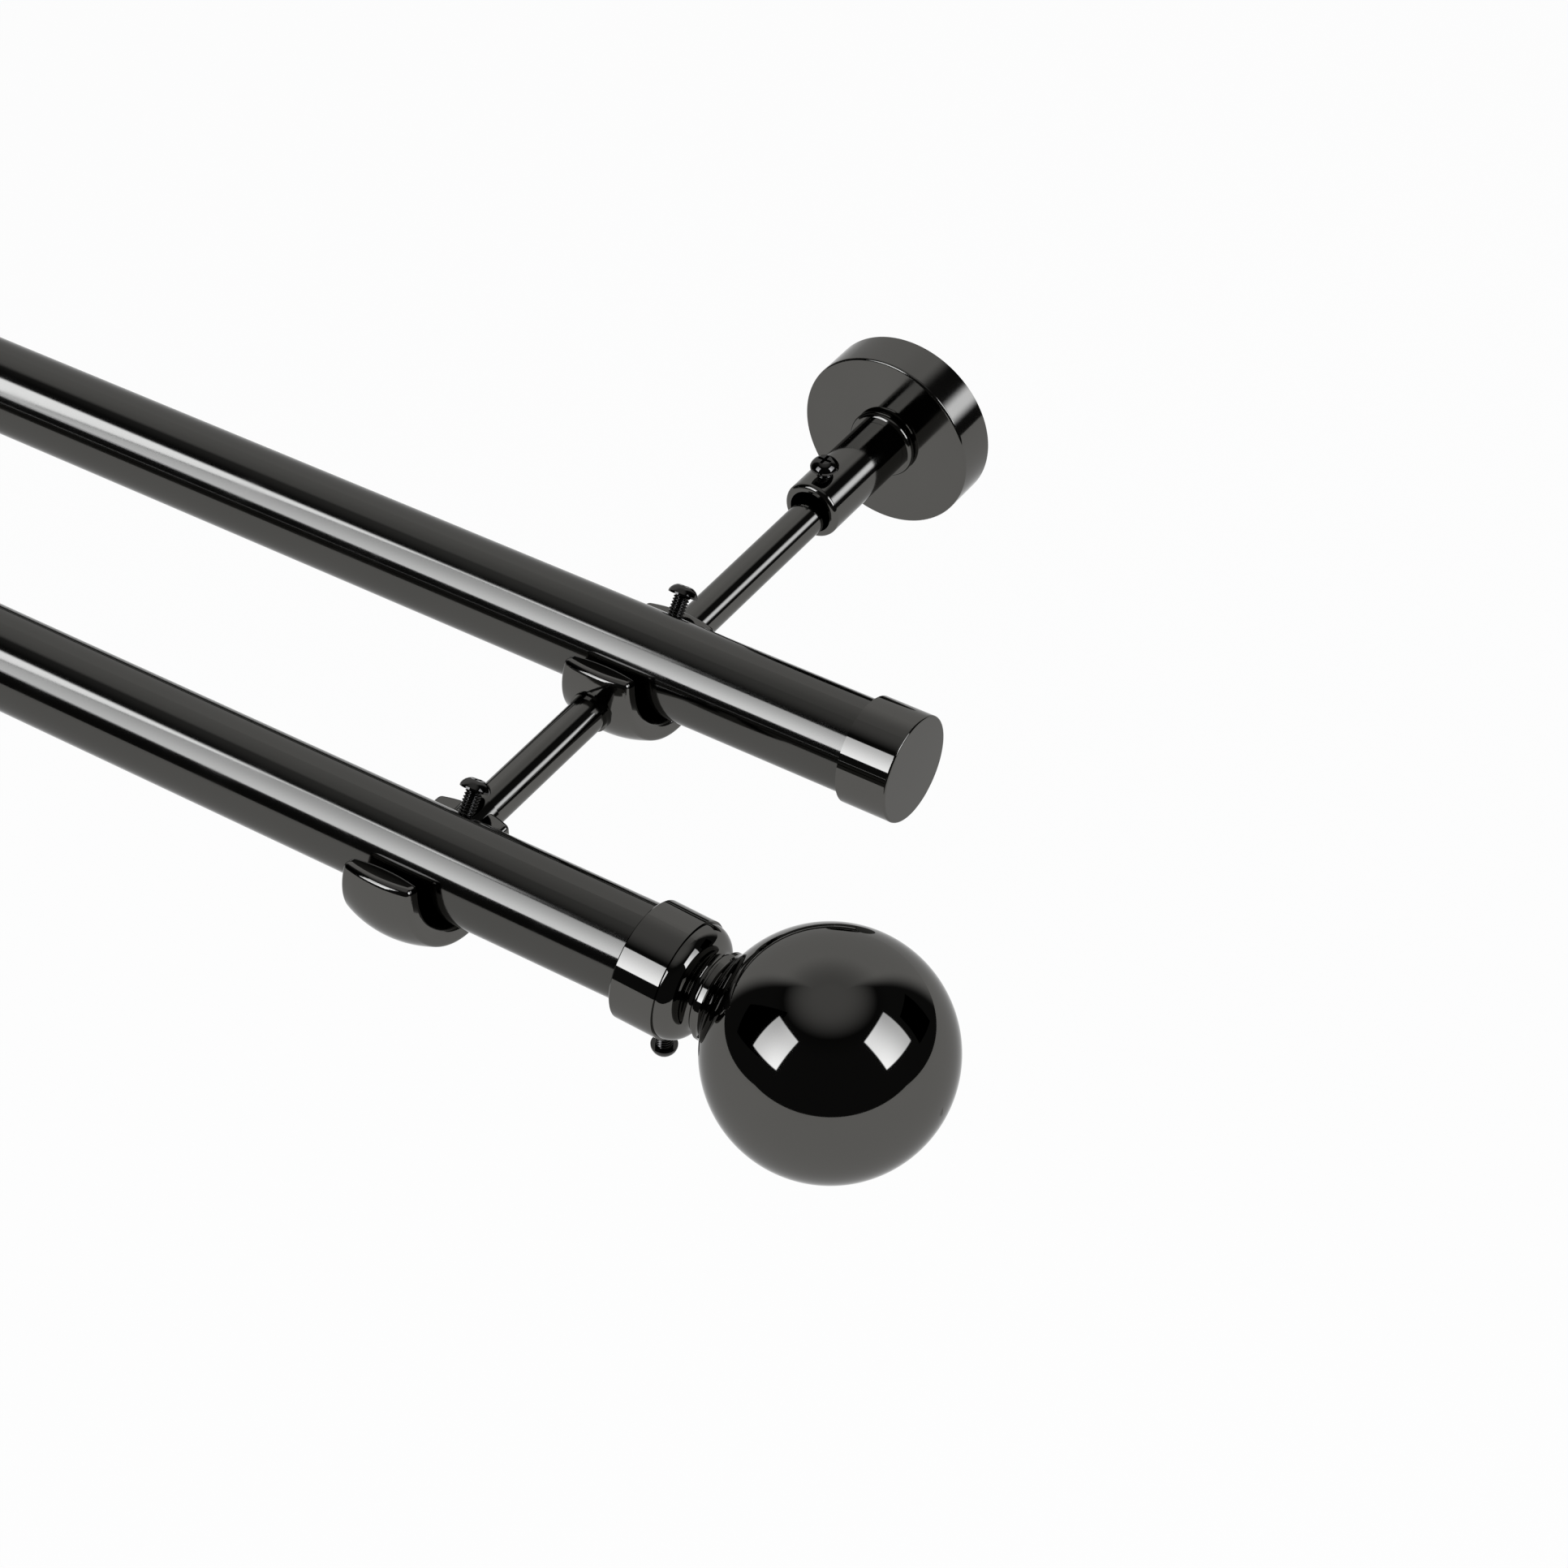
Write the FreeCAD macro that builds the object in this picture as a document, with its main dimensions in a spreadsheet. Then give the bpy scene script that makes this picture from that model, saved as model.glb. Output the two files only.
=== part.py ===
import FreeCAD, Part
import math
import os

import Sketcher
from FreeCAD import Placement, Rotation, Vector

# Double curtain pole on two wall brackets, in millimetres.
# X runs along the poles, the wall is the plane Y = 0 with the room on its -Y side, Z is up.
# The origin lies on the wall, midway between the brackets and level with their stems.

doc = FreeCAD.newDocument("double_curtain_pole")

# Driving dimensions
SIZES = {
    "pole_dia": 28.0,
    "pole_wall": 1.2,
    "front_pole_len": 1180.0,
    "rear_pole_len": 1200.0,
    "front_reach": 248.0,
    "pole_gap": 100.0,
    "pole_rise": 7.4,
    "bracket_span": 1019.0,
    "seat_gap": 0.1,
    "thread_gap": 0.05,
    # wall plate, rose and the bolt that holds the stem
    "plate_thick": 3.0,
    "plate_clear": 0.5,
    "plate_boss_dia": 18.0,
    "wall_hole_dia": 5.0,
    "wall_hole_gap": 38.0,
    "rose_dia": 58.0,
    "rose_depth": 14.0,
    "rose_wall": 1.5,
    "rose_face": 2.0,
    "rose_edge": 0.8,
    "bolt_dia": 6.0,
    "bolt_head_dia": 12.0,
    "bolt_bite": 8.0,
    # stem and arms
    "stem_dia": 18.5,
    "stem_len": 43.0,
    "stem_bore": 14.0,
    "stem_floor": 10.0,
    "stem_lip": 1.6,
    "flange_dia": 23.5,
    "flange_width": 3.0,
    "flange_round": 1.7,
    "arm_dia": 11.2,
    "arm_insert": 30.0,
    "arm_edge": 0.6,
    "front_arm_lift": 3.0,
    "spigot_dia": 6.0,
    "spigot_len": 5.5,
    # pole cups
    "cup_width": 32.0,
    "cup_lip_len": 23.2,
    "cup_foot_len": 29.4,
    "throat_dia": 31.0,
    "mouth_dia": 38.5,
    "belly_dia": 48.0,
    "belly_drop": 1.7,
    "rim_dia": 39.7,
    "cup_edge": 1.9,
    "front_lip_angle": 18.0,
    "back_lip_angle": -4.0,
    "neck_dia": 12.6,
    "neck_reach": 25.0,
    # set screws
    "set_dia": 4.0,
    "set_head_dia": 8.8,
    "set_head_height": 2.8,
    "set_head_side": 0.6,
    "set_head_flat": 4.6,
    "set_head_round": 3.4,
    "set_slot_len": 4.4,
    "set_slot_width": 1.0,
    "set_slot_depth": 1.4,
    "stem_screw_len": 5.4,
    "stem_screw_inset": 8.0,
    "cup_screw_len": 10.2,
    "cup_screw_tilt": 40.0,
    "cup_screw_touch": -6.0,
    "finial_screw_len": 13.6,
    "finial_screw_inset": 6.8,
    "finial_head_dia": 7.4,
    # sleeve caps on the rear pole
    "cap_dia": 31.8,
    "cap_len": 15.8,
    "cap_end": 1.6,
    "cap_clear": 0.15,
    "cap_edge": 0.6,
    # ball finials on the front pole
    "collar_dia": 34.0,
    "collar_len": 13.3,
    "collar_depth": 10.1,
    "collar_clear": 1.9,
    "collar_edge": 0.4,
    "shoulder_step": 0.6,
    "shoulder_len": 7.7,
    "shoulder_round": 6.0,
    "finial_neck_dia": 20.6,
    "bead_dia": 23.0,
    "bead_rise": 0.5,
    "bead_width": 1.8,
    "bead_round": 1.0,
    "ring_dia": 25.0,
    "ring_width": 1.4,
    "flare_dia": 29.6,
    "flare_len": 2.6,
    "flare_round": 5.0,
    "ball_dia": 67.0,
    "ball_wall": 1.5,
    "ball_boss_dia": 14.0,
    "ball_boss_len": 10.0,
    "stud_dia": 6.0,
    "stud_bite": 8.0,
    "finial_droop": 3.2,
}

sheet = doc.addObject("Spreadsheet::Sheet", "Sizes")
for row, (alias, size) in enumerate(SIZES.items(), start=1):
    sheet.set("A%d" % row, alias)
    sheet.set("B%d" % row, repr(size))
    sheet.setAlias("B%d" % row, alias)
doc.recompute()

OUT_OF_WALL = Rotation(Vector(0, 0, 1), -90)
TILT_AXIS = Vector(-1, 0, 0)
NODES = []


def formula(text):
    """Put the sheet's name before every size named in a formula."""
    words = []
    word = ""
    for letter in text + " ":
        if letter.isalnum() or letter == "_":
            word += letter
            continue
        words.append("Sizes." + word if word in SIZES else word)
        words.append(letter)
        word = ""
    return "".join(words).strip()


def value(text):
    """Number that a formula gives with the present sizes."""
    return float(sheet.evalExpression(formula(text)))


def bind(thing, path, text):
    """Bind one property of a document object to a formula."""
    thing.setExpression(path, formula(text))


def place(thing, where, rotation=None):
    """Bind an object's position to three formulas."""
    thing.Placement = Placement(Vector(*[value(text) for text in where]), rotation or Rotation())
    for axis, text in zip("xyz", where):
        bind(thing, "Placement.Base." + axis, text)


def new_body(name):
    """Empty body with its own label."""
    body = doc.addObject("PartDesign::Body", name)
    body.Label = name
    return body


def new_sketch(body, name, role, offset=None, tilt=None):
    """Sketch on one of the body's own origin planes, moved off it and tilted back about its first axis."""
    plane = [item for item in body.Origin.OriginFeatures if item.Role == role][0]
    sketch = body.newObject("Sketcher::SketchObject", body.Name + "_" + name)
    sketch.AttachmentSupport = (plane, [""])
    sketch.MapMode = "FlatFace"
    if offset:
        shift = Vector(*[value(text) for text in offset])
        turned = Rotation(TILT_AXIS, value(tilt)) if tilt else Rotation()
        sketch.AttachmentOffset = Placement(shift, turned)
        for axis, text in zip("xyz", offset):
            bind(sketch, "AttachmentOffset.Base." + axis, text)
        if tilt:
            bind(sketch, "AttachmentOffset.Rotation.Angle", tilt + " * 1deg")
    return sketch


def pin_point(sketch, index, end, across, up, tag):
    """Hold one end of a sketch edge at two formulas from the sketch's origin."""
    for kind, text in (("DistanceX", across), ("DistanceY", up)):
        number = sketch.addConstraint(Sketcher.Constraint(kind, -1, 1, index, end, value(text)))
        label = tag + kind[-1]
        sketch.renameConstraint(number, label)
        bind(sketch, "Constraints." + label, text)


def arc_middle(start, finish, radius, side):
    """Middle point of the short arc from start to finish, on the left (+1) or right (-1) of the way."""
    chord = finish - start
    half = chord.Length / 2
    rise = radius - math.sqrt(max(radius * radius - half * half, 0.0))
    left = Vector(-chord.y, chord.x, 0).normalize()
    return (start + finish) * 0.5 + left * (rise * side)


def outline(sketch, corners):
    """Closed outline through corners (across, up) or (across, up, radius, side) with an arc to the next."""
    points = [Vector(value(corner[0]), value(corner[1]), 0) for corner in corners]
    starts = []
    ends = []
    for index, corner in enumerate(corners):
        start = points[index]
        finish = points[(index + 1) % len(points)]
        if len(corner) == 2:
            sketch.addGeometry(Part.LineSegment(start, finish), False)
            starts.append(1)
            ends.append(2)
            continue
        middle = arc_middle(start, finish, value(corner[2]), corner[3])
        anticlockwise = corner[3] < 0
        near, far = (start, finish) if anticlockwise else (finish, start)
        sketch.addGeometry(Part.Arc(near, middle, far), False)
        starts.append(1 if anticlockwise else 2)
        ends.append(2 if anticlockwise else 1)
    count = len(corners)
    for index in range(count):
        after = (index + 1) % count
        sketch.addConstraint(Sketcher.Constraint("Coincident", index, ends[index], after, starts[after]))
    for index, corner in enumerate(corners):
        pin_point(sketch, index, starts[index], corner[0], corner[1], "corner%d" % index)
        if len(corner) == 4:
            radius = sketch.addConstraint(Sketcher.Constraint("Radius", index, value(corner[2])))
            sketch.renameConstraint(radius, "round%d" % index)
            bind(sketch, "Constraints.round%d" % index, corner[2])


def circle(sketch, across, up, radius):
    """Circle with its centre and radius bound to formulas."""
    centre = Vector(value(across), value(up), 0)
    index = sketch.addGeometry(Part.Circle(centre, Vector(0, 0, 1), value(radius)), False)
    pin_point(sketch, index, 3, across, up, "hole%d" % index)
    number = sketch.addConstraint(Sketcher.Constraint("Radius", index, value(radius)))
    sketch.renameConstraint(number, "size%d" % index)
    bind(sketch, "Constraints.size%d" % index, radius)


def turn(body, corners, axis):
    """Turned solid: an outline revolved about the body's X axis (H_Axis) or Z axis (V_Axis)."""
    sketch = new_sketch(body, "profile", "XZ_Plane")
    outline(sketch, corners)
    turned = body.newObject("PartDesign::Revolution", body.Name + "_turned")
    turned.Profile = sketch
    turned.ReferenceAxis = (sketch, [axis])
    turned.Angle = 360
    return turned


def drill(body, name, sketch, reverse, depth=None):
    """Pocket from a sketch, to a depth or right through one side of the body."""
    hole = body.newObject("PartDesign::Pocket", body.Name + "_" + name)
    hole.Profile = sketch
    hole.Reversed = reverse
    if depth:
        hole.Type = "Length"
        bind(hole, "Length", depth)
    else:
        hole.Type = "ThroughAll"
    return hole


def flipped(corners, index):
    """The same outline mirrored, with its across (0) or up (1) formulas reversed."""
    mirrored = []
    for corner in corners:
        terms = list(corner)
        terms[index] = "-(" + corner[index] + ")"
        if len(terms) == 4:
            terms[3] = -corner[3]
        mirrored.append(tuple(terms))
    return mirrored


def lathe(name, corners, where, rotation=None, axis="H_Axis"):
    """Turned piece in its place."""
    body = new_body(name)
    turn(body, corners, axis)
    place(body, where, rotation)
    return body


def keep(piece):
    """List a finished piece among the nodes to write."""
    NODES.append(piece)
    return piece


def wall_plate(name, side):
    """Steel plate with two wall holes and a boss that reaches the rose's face."""
    rim = "rose_dia / 2 - rose_wall - plate_clear"
    bore = "bolt_dia / 2 + thread_gap"
    sink = "bolt_head_dia / 2 - bolt_dia / 2"
    boss_end = "rose_depth - rose_face"
    body = lathe(name, [
        ("0", "bolt_head_dia / 2 + thread_gap"),
        ("0", rim),
        ("plate_thick", rim),
        ("plate_thick", "plate_boss_dia / 2"),
        (boss_end, "plate_boss_dia / 2"),
        (boss_end, bore),
        (sink, bore),
    ], (side + "bracket_span / 2", "0", "0"), OUT_OF_WALL)
    holes = new_sketch(body, "wall_holes", "YZ_Plane")
    for up in ("wall_hole_gap / 2", "-wall_hole_gap / 2"):
        circle(holes, "0", up, "wall_hole_dia / 2")
    drill(body, "fixing", holes, True)
    return body


def stem_bolt(name, side):
    """Countersunk bolt from the back of the plate into the stem."""
    radius = "bolt_dia / 2"
    sink = "bolt_head_dia / 2 - bolt_dia / 2"
    end = "rose_depth + bolt_bite"
    return lathe(name, [
        ("seat_gap", "0"),
        ("seat_gap", "bolt_head_dia / 2 - seat_gap"),
        (sink, radius),
        (end, radius),
        (end, "0"),
    ], (side + "bracket_span / 2", "0", "0"), OUT_OF_WALL)


def rose(name, side):
    """Round cover with an open back, clamped between the stem and the plate's boss."""
    outer = "rose_dia / 2"
    inner = "rose_dia / 2 - rose_wall"
    bore = "bolt_dia / 2 + thread_gap"
    floor = "rose_depth - rose_face"
    return lathe(name, [
        ("0", outer),
        ("rose_depth - rose_edge", outer, "rose_edge", 1),
        ("rose_depth", "rose_dia / 2 - rose_edge"),
        ("rose_depth", bore),
        (floor, bore),
        (floor, inner),
        ("0", inner),
    ], (side + "bracket_span / 2", "0", "0"), OUT_OF_WALL)


def stem(name, side):
    """Socket tube with a beaded flange against the rose and a hole for the set screw on top."""
    tip = "rose_depth + stem_len"
    root = "flange_dia / 2 - flange_width / 2"
    flange = "rose_depth + flange_width"
    floor = "rose_depth + stem_floor"
    thread = "bolt_dia / 2 + thread_gap"
    body = lathe(name, [
        ("rose_depth", thread),
        ("rose_depth", root, "flange_round", 1),
        (flange, root),
        (flange, "stem_dia / 2"),
        (tip + " - stem_lip", "stem_dia / 2", "stem_lip", 1),
        (tip, "stem_dia / 2 - stem_lip"),
        (tip, "stem_bore / 2"),
        (floor, "stem_bore / 2"),
        (floor, thread),
    ], (side + "bracket_span / 2", "0", "0"), OUT_OF_WALL)
    hole = new_sketch(body, "screw_hole", "XY_Plane")
    circle(hole, tip + " - stem_screw_inset", "0", "set_dia / 2 + thread_gap")
    drill(body, "screw_bore", hole, True)
    return body


ARM_DROP = "(stem_bore / 2 - arm_dia / 2 - seat_gap)"
REAR_REACH = "(front_reach - pole_gap)"


def arm(name, side, corners, level):
    """Round rod of the bracket."""
    return lathe(name, corners, (side + "bracket_span / 2", "0", level), OUT_OF_WALL)


def rear_arm(name, side):
    """Rod from the stem to the back of the rear cup, with a spigot that screws into it."""
    start = "rose_depth + stem_len - arm_insert"
    neck = REAR_REACH + " - neck_reach"
    return arm(name, side, [
        (start, "0"),
        (start, "arm_dia / 2 - arm_edge"),
        (start + " + arm_edge", "arm_dia / 2"),
        (neck, "arm_dia / 2"),
        (neck, "spigot_dia / 2"),
        (neck + " + spigot_len", "spigot_dia / 2"),
        (neck + " + spigot_len", "0"),
    ], "-" + ARM_DROP)


def front_arm(name, side):
    """Rod between the cups, with a spigot at each end."""
    start = REAR_REACH + " + neck_reach"
    finish = "front_reach - neck_reach"
    return arm(name, side, [
        (start + " - spigot_len", "0"),
        (start + " - spigot_len", "spigot_dia / 2"),
        (start, "spigot_dia / 2"),
        (start, "arm_dia / 2"),
        (finish, "arm_dia / 2"),
        (finish, "spigot_dia / 2"),
        (finish + " + spigot_len", "spigot_dia / 2"),
        (finish + " + spigot_len", "0"),
    ], "front_arm_lift")


CUP_LIFT = "(throat_dia / 2 - pole_dia / 2 - seat_gap)"
POINT_OFF = "(set_dia / 2 + seat_gap)"
TOUCH_OUT = "((pole_dia / 2 + " + POINT_OFF + ") * cos(cup_screw_touch * 1deg))"
TOUCH_UP = "((pole_dia / 2 + " + POINT_OFF + ") * sin(cup_screw_touch * 1deg))"


def bulge_radius(middle, edge):
    """Radius of the arc across the cup that differs by this much at the middle and the edge."""
    rise = "abs(%s - %s) / 2" % (middle, edge)
    return "(cup_width ^ 2 / 4 + (%s) ^ 2) / (2 * (%s))" % (rise, rise)


def round_about(body, kind, name, middle, edge, side, level):
    """Solid or groove turned about an axis along the pole, with an arc between its ends as its side."""
    section = new_sketch(body, name, "XZ_Plane", ("0", level, "0"))
    outline(section, [
        ("-cup_width / 2", "0"),
        ("-cup_width / 2", edge + " / 2", bulge_radius(middle, edge), side),
        ("cup_width / 2", edge + " / 2"),
        ("cup_width / 2", "0"),
    ])
    turned = body.newObject("PartDesign::" + kind, body.Name + "_" + name + "_turned")
    turned.Profile = section
    turned.ReferenceAxis = (section, ["H_Axis"])
    turned.Angle = 360
    return turned


def cut_across(body, name, role, corners, length):
    """Cut of an outline, the same distance to both sides of an origin plane."""
    sketch = new_sketch(body, name, role)
    outline(sketch, corners)
    cut = body.newObject("PartDesign::Pocket", body.Name + "_" + name + "_cut")
    cut.Profile = sketch
    cut.Midplane = True
    cut.Type = "Length"
    bind(cut, "Length", length)
    return cut


def cup(name, side, reach, necks):
    """Cast bowl with drafted ends and rounded lips, open at the top, with a neck for each arm it meets."""
    body = new_body(name)
    round_about(body, "Revolution", "bowl", "belly_dia", "rim_dia", 1, "-belly_drop")
    deep = "(belly_dia / 2 + belly_drop)"
    draft = [
        ("cup_foot_len / 2", "-" + deep),
        ("cup_width", "-" + deep),
        ("cup_width", deep),
        ("cup_lip_len - cup_foot_len / 2", deep),
    ]
    cut_across(body, "draft", "XZ_Plane", draft, "2 * belly_dia")
    cut_across(body, "far_draft", "XZ_Plane", flipped(draft, 0), "2 * belly_dia")
    round_about(body, "Groove", "throat", "throat_dia", "mouth_dia", -1, "0")
    lips = cut_across(body, "lips", "YZ_Plane", [
        ("0", "0"),
        ("belly_dia * cos(back_lip_angle * 1deg)", "belly_dia * sin(back_lip_angle * 1deg)"),
        ("belly_dia", "belly_dia"),
        ("-belly_dia", "belly_dia"),
        ("-belly_dia * cos(front_lip_angle * 1deg)", "belly_dia * sin(front_lip_angle * 1deg)"),
    ], "2 * cup_width")
    doc.recompute()
    soft = body.newObject("PartDesign::Fillet", name + "_soft_edges")
    soft.Base = (lips, ["Edge%d" % (number + 1) for number in range(len(lips.Shape.Edges))])
    bind(soft, "Radius", "cup_edge")
    axis_up = "pole_rise + " + CUP_LIFT
    for word, back, level in necks:
        sign = "-" if back else ""
        shift = "(throat_dia / 2 + cup_edge)"
        ring = new_sketch(body, word + "_neck", "XZ_Plane", ("0", "0", sign + shift))
        circle(ring, "0", level + " - (" + axis_up + ")", "neck_dia / 2")
        pad = body.newObject("PartDesign::Pad", name + "_" + word + "_neck_pad")
        pad.Profile = ring
        pad.Reversed = back
        bind(pad, "Length", "neck_reach - " + shift)
        socket = new_sketch(body, word + "_socket", "XZ_Plane", ("0", "0", sign + "neck_reach"))
        circle(socket, "0", level + " - (" + axis_up + ")", "spigot_dia / 2 + thread_gap")
        drill(body, word + "_socket_bore", socket, back, "spigot_len + seat_gap")
    start_out = TOUCH_OUT + " - set_dia * sin(cup_screw_tilt * 1deg)"
    start_up = TOUCH_UP + " - " + CUP_LIFT + " - set_dia * cos(cup_screw_tilt * 1deg)"
    bore = new_sketch(body, "screw_hole", "XY_Plane", ("0", start_out, start_up), "cup_screw_tilt")
    circle(bore, "0", "0", "set_dia / 2 + thread_gap")
    drill(body, "screw_bore", bore, True)
    place(body, (side + "bracket_span / 2", "-" + reach, axis_up))
    return body


def lean(body, axis, angle):
    """Turn a body about an axis through its origin by a bound angle in degrees."""
    body.Placement = Placement(body.Placement.Base, Rotation(axis, value(angle)))
    bind(body, "Placement.Rotation.Angle", angle + " * 1deg")


def set_screw(name, length, where, down=False, head="set_head_dia"):
    """Pan-head set screw with a cross recess and a round point centred on the body's origin."""
    top = length + " + set_head_height"
    corners = [
        ("0", "-set_dia / 2", "set_dia / 2", -1),
        ("set_dia / 2", "0"),
        ("set_dia / 2", length),
        (head + " / 2", length),
        (head + " / 2", length + " + set_head_side", "set_head_round", -1),
        ("set_head_flat / 2", top),
        ("0", top),
    ]
    body = lathe(name, flipped(corners, 1) if down else corners, where, None, "V_Axis")
    slots = (("set_slot_len / 2", "set_slot_width / 2"), ("set_slot_width / 2", "set_slot_len / 2"))
    for number, (wide, tall) in enumerate(slots):
        level = "-(" + top + ")" if down else top
        slot = new_sketch(body, "slot%d" % number, "XY_Plane", ("0", "0", level))
        outline(slot, [
            ("-" + wide, "-" + tall),
            (wide, "-" + tall),
            (wide, tall),
            ("-" + wide, tall),
        ])
        drill(body, "slot_cut%d" % number, slot, down, "set_slot_depth")
    return body


def group(name, pieces):
    """One node for several like fasteners."""
    together = doc.addObject("Part::Compound", name)
    together.Label = name
    together.Links = pieces
    return together


def pole(name, length, reach):
    """Steel tube."""
    outer = "pole_dia / 2"
    inner = "pole_dia / 2 - pole_wall"
    return lathe(name, [
        ("-" + length + " / 2", inner),
        (length + " / 2", inner),
        (length + " / 2", outer),
        ("-" + length + " / 2", outer),
    ], ("0", "-" + reach, "pole_rise"))


def end_cap(name, side):
    """Sleeve with a closed end, pushed over the rear pole."""
    outer = "cap_dia / 2"
    inner = "pole_dia / 2 + cap_clear"
    corners = [
        ("cap_end - cap_len", inner),
        ("cap_end - cap_len", outer),
        ("cap_end - cap_edge", outer, "cap_edge", 1),
        ("cap_end", "cap_dia / 2 - cap_edge"),
        ("cap_end", "0"),
        ("0", "0"),
        ("0", inner),
    ]
    return lathe(name, flipped(corners, 0) if side else corners,
                 (side + "rear_pole_len / 2", "-" + REAR_REACH, "pole_rise"))


COLLAR_DROP = "(collar_clear - seat_gap)"
CROWN = "(collar_len - collar_depth)"
SHOULDER_TOP = "(collar_dia / 2 - shoulder_step)"
SHOULDER_FALL = "(" + SHOULDER_TOP + " - finial_neck_dia / 2)"
SHOULDER_ARCS = "((shoulder_len ^ 2 + " + SHOULDER_FALL + " ^ 2) / (2 * " + SHOULDER_FALL + "))"
BEAD_START = "(" + CROWN + " + shoulder_len)"
RING_START = "(" + BEAD_START + " + bead_width)"
FLARE_START = "(" + RING_START + " + ring_width)"
BALL_SEAT = "(" + FLARE_START + " + flare_len)"
FINIAL_OUT = "(front_pole_len / 2 + pole_dia / 2 * sin(finial_droop * 1deg))"


def finial_lathe(name, side, corners):
    """Turned piece of a finial, which hangs low on the end of the front pole under its set screw."""
    where = (side + FINIAL_OUT, "-front_reach", "pole_rise - " + COLLAR_DROP)
    body = lathe(name, flipped(corners, 0) if side else corners, where)
    lean(body, finial_axis(side), "finial_droop")
    return body


def finial_axis(side):
    """Axis about which a finial droops."""
    return Vector(0, -1, 0) if side else Vector(0, 1, 0)


def finial_collar(name, side):
    """Turned collar: sleeve, ogee shoulder, two beads and a flare that seats the ball."""
    outer = "collar_dia / 2"
    bore = "pole_dia / 2 + collar_clear"
    neck = "finial_neck_dia / 2"
    swell = "shoulder_round / " + SHOULDER_ARCS
    thread = "stud_dia / 2 + thread_gap"
    body = finial_lathe(name, side, [
        ("-collar_depth", bore),
        ("-collar_depth", "collar_dia / 2 - collar_edge"),
        ("-collar_depth + collar_edge", outer),
        (CROWN, outer),
        (CROWN, SHOULDER_TOP, "shoulder_round", 1),
        (CROWN + " + shoulder_len * " + swell, SHOULDER_TOP + " - " + SHOULDER_FALL + " * " + swell,
         SHOULDER_ARCS + " - shoulder_round", -1),
        (BEAD_START, neck),
        (BEAD_START, "bead_dia / 2 - bead_rise", "bead_round", 1),
        (RING_START, "bead_dia / 2 - bead_rise"),
        (RING_START, "ring_dia / 2"),
        (FLARE_START, "ring_dia / 2", "flare_round", -1),
        (BALL_SEAT, "flare_dia / 2"),
        (BALL_SEAT, thread),
        ("0", thread),
        ("0", bore),
    ])
    hole = new_sketch(body, "screw_hole", "XY_Plane")
    circle(hole, side + "(finial_screw_inset - collar_depth)", "0", "set_dia / 2 + thread_gap")
    drill(body, "screw_bore", hole, False)
    return body


def finial_stud(name, side):
    """Threaded stud that joins the collar and the ball."""
    radius = "stud_dia / 2"
    end = BALL_SEAT + " + stud_bite"
    return finial_lathe(name, side, [
        ("seat_gap", "0"),
        ("seat_gap", radius),
        (end, radius),
        (end, "0"),
    ])


BALL_CENTRE = "(" + BALL_SEAT + " + sqrt(ball_dia ^ 2 / 4 - flare_dia ^ 2 / 4))"


def solid(kind, name, up, sizes):
    """Plain sphere or cylinder on the local Z axis, with its sizes and its height bound to formulas."""
    shape = doc.addObject("Part::" + kind, name)
    for size, text in sizes.items():
        bind(shape, size, text)
    place(shape, ("0", "0", up))
    return shape


def finial_ball(name, side):
    """Hollow ball with a flat where it meets the flare and a threaded boss inside."""
    flat = "sqrt(ball_dia ^ 2 / 4 - flare_dia ^ 2 / 4)"
    inside = "(ball_dia / 2 - ball_wall)"
    skin = solid("Sphere", name + "_skin", BALL_CENTRE, {
        "Radius": "ball_dia / 2",
        "Angle1": "-asin(" + flat + " / (ball_dia / 2))",
    })
    hollow = solid("Sphere", name + "_hollow", BALL_CENTRE, {
        "Radius": inside,
        "Angle1": "-asin((" + flat + " - ball_wall) / " + inside + ")",
    })
    boss = solid("Cylinder", name + "_boss", BALL_SEAT + " + ball_wall / 2", {
        "Radius": "ball_boss_dia / 2",
        "Height": "ball_boss_len - ball_wall / 2",
    })
    thread = solid("Cylinder", name + "_thread", BALL_SEAT + " - stud_dia", {
        "Radius": "stud_dia / 2 + thread_gap",
        "Height": "ball_boss_len + 2 * stud_dia",
    })
    shell = doc.addObject("Part::Cut", name + "_shell")
    shell.Base = skin
    shell.Tool = hollow
    bossed = doc.addObject("Part::Fuse", name + "_bossed")
    bossed.Base = shell
    bossed.Tool = boss
    ball = doc.addObject("Part::Cut", name)
    ball.Label = name
    ball.Base = bossed
    ball.Tool = thread
    place(ball, (side + FINIAL_OUT, "-front_reach", "pole_rise - " + COLLAR_DROP))
    lean(ball, finial_axis(side), "(90 + finial_droop)")
    return ball


SCREW_IN = "(collar_depth - finial_screw_inset)"
POINT_UNDER = "(pole_dia / 2 + " + POINT_OFF + ")"
SCREW_DOWN = ("((" + POINT_UNDER + " - " + COLLAR_DROP + " + " + SCREW_IN + " * sin(finial_droop * 1deg))"
              " / cos(finial_droop * 1deg))")
SCREW_OUT = ("(" + FINIAL_OUT + " - " + SCREW_IN + " * cos(finial_droop * 1deg) - "
             + SCREW_DOWN + " * sin(finial_droop * 1deg))")


SIDES = (("left", "-"), ("right", ""))

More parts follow.
